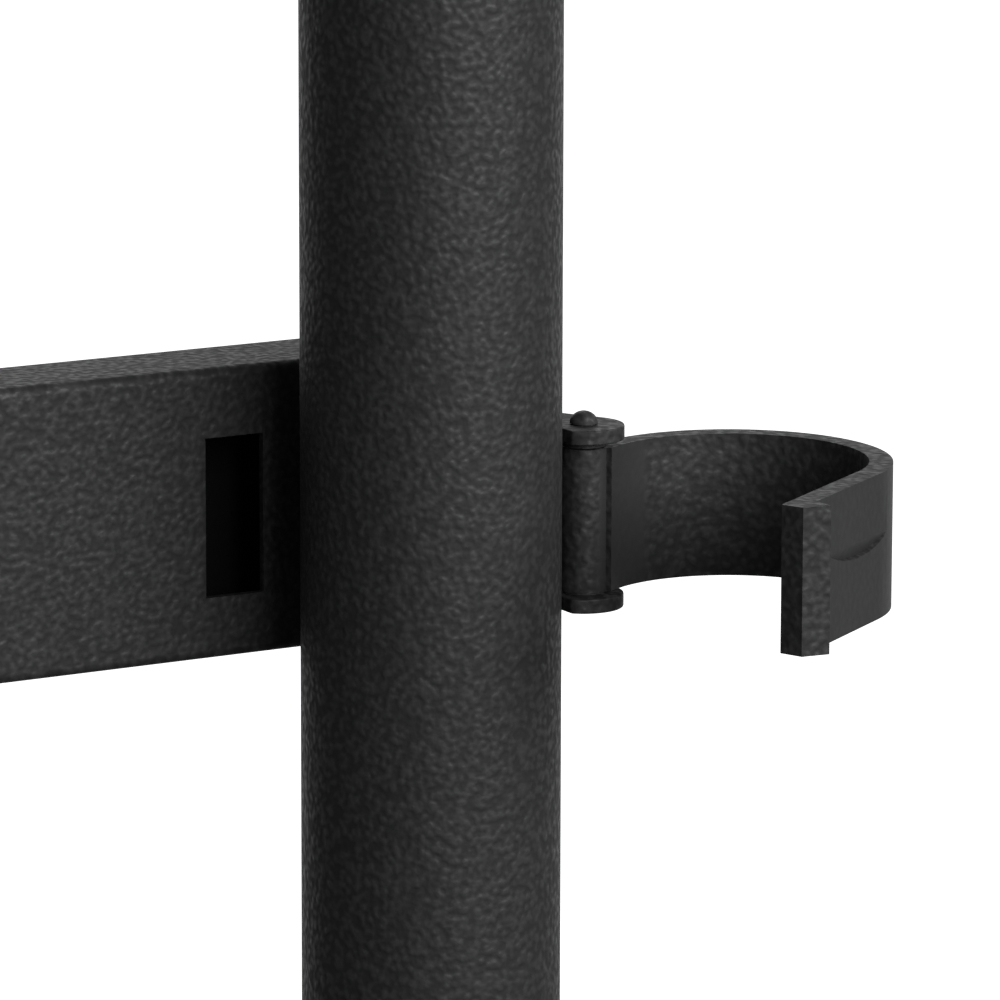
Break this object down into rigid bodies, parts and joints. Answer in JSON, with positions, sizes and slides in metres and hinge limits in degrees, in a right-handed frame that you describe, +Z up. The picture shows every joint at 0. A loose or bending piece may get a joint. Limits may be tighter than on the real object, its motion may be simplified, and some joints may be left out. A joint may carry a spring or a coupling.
{
  "type": "post clamp",
  "caption": "Round post held at a rectangular hollow arm by a hinged strap clamp whose hook enters a slot in the arm's face.",
  "frame": {"origin": "centre of the post's lower end face", "axes": "+Z up along the post; the arm runs along X behind the post, with its long end towards -X; -Y is the front, the way the post comes out"},
  "size_m": [0.3194, 0.2315, 0.4],
  "materials": {
    "black_coat": "fine-textured matt black powder coat",
    "black_plastic": "moulded, fine grain",
    "nylon": "smooth black nylon",
    "zinc_plate": "bright zinc plate",
    "plain_steel": "plain drawn steel"
  },
  "bodies": {
    "bracket": {"arm_tube": "black_coat", "arm_outer_end_cap": "black_plastic", "arm_inner_end_cap": "black_plastic", "cradle_band": "black_coat", "upper_hinge_ear": "black_coat", "lower_hinge_ear": "black_coat", "hinge_pin": "black_coat", "pin_retaining_ring": "plain_steel", "upper_washer": "nylon", "lower_thrust_washer": "nylon", "cradle_screw_1": "zinc_plate", "cradle_screw_2": "zinc_plate", "rivet_nut_1": "zinc_plate", "rivet_nut_2": "zinc_plate", "latch_guide": "zinc_plate", "guide_spacer_1": "plain_steel", "guide_spacer_2": "plain_steel", "guide_screw_1": "zinc_plate", "guide_screw_2": "zinc_plate"},
    "strap": {"clamp_strap": "black_coat", "upper_bush": "nylon", "lower_bush": "nylon"},
    "bolt": {"latch_bolt": "plain_steel"},
    "post": {"post_tube": "black_coat", "post_top_cap": "black_plastic", "post_bottom_cap": "black_plastic"}
  },
  "joints": [
    {"name": "strap_swing", "type": "hinge", "parent": "bracket", "child": "strap", "pos_m": [0.0555, -0.0078, 0.2], "axis": [0, 0, 1], "range_deg": [-133.2, 75]},
    {"name": "bolt_slide", "type": "slide", "parent": "bracket", "child": "bolt", "axis": [1, 0, 0], "range_m": [0, 0.013]},
    {"name": "post_release", "type": "slide", "parent": "bracket", "child": "post", "axis": [0, -1, 0], "range_m": [0, 0.12]}
  ]
}
